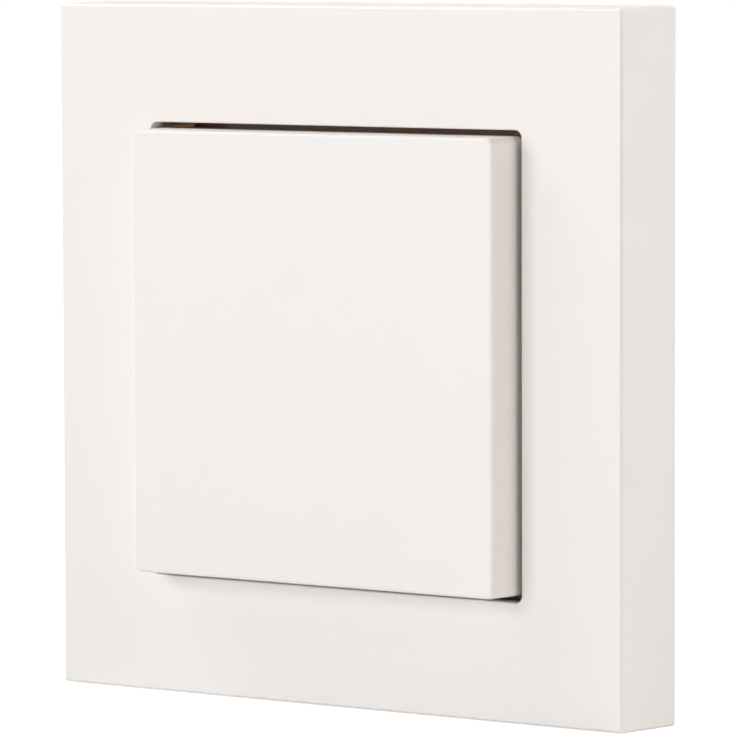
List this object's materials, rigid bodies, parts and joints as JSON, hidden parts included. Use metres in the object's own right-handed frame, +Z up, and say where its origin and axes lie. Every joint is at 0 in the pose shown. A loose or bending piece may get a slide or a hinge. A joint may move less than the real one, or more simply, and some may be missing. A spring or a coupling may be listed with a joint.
{
  "type": "smart light switch",
  "caption": "Flat square wall switch: a cover frame and a large rocker that tilts up or down and drives a self-powered radio transmitter behind it.",
  "frame": {"origin": "centre of the mounting plate's back face, on the wall", "axes": "+X to the user's right, +Y into the wall, +Z up"},
  "size_m": [0.0838, 0.0153, 0.0838],
  "materials": {
    "cover_white": "satin moulded plastic, fine grain on the sides",
    "rocker_white": "satin moulded plastic",
    "plate_dark": "moulded plastic, fine texture",
    "module_grey": "moulded plastic",
    "spring_bronze": "stamped spring bronze",
    "pad_foam": "closed-cell foam tape",
    "board_green": "solder mask on glass laminate",
    "chip_black": "moulded epoxy",
    "crystal_can": "plated can",
    "capacitor_amber": "moulded epoxy",
    "wire_steel": "tinned wire",
    "core_iron": "laminated soft iron",
    "bobbin_black": "glass-filled plastic",
    "coil_copper": "enamelled copper wire",
    "lever_cream": "acetal",
    "axle_steel": "ground pin",
    "magnet_nickel": "nickel plate"
  },
  "bodies": {
    "base": {"cover_frame": "cover_white", "mounting_plate": "plate_dark", "frame_clips": "spring_bronze", "adhesive_pads": "pad_foam", "module_tray": "module_grey", "module_lid": "module_grey", "centring_spring": "spring_bronze", "circuit_board": "board_green", "radio_chip": "chip_black", "power_chip": "chip_black", "crystal": "crystal_can", "storage_capacitors": "capacitor_amber", "rectifier_diodes": "chip_black", "antenna": "wire_steel", "core_halves": "core_iron", "coil_bobbin": "bobbin_black", "coil_winding": "coil_copper", "coil_leads": "coil_copper"},
    "rocker": {"rocker": "rocker_white"},
    "lever": {"magnet_lever": "lever_cream", "lever_axle": "axle_steel", "magnets": "magnet_nickel", "pole_plates": "core_iron"}
  },
  "joints": [
    {"name": "rocker_tilt", "type": "hinge", "parent": "base", "child": "rocker", "pos_m": [0, -0.0064, 0], "axis": [1, 0, 0], "range_deg": [-3, 3], "stiffness_Nm_per_rad": 0.25, "deforming": ["centring_spring"]},
    {"name": "lever_swing", "type": "hinge", "parent": "base", "child": "lever", "pos_m": [0, -0.0064, 0.0078], "axis": [1, 0, 0], "range_deg": [-6, 6]}
  ],
  "couplings": [
    {"joint": "lever_swing", "follows": "rocker_tilt", "ratio": 2}
  ]
}
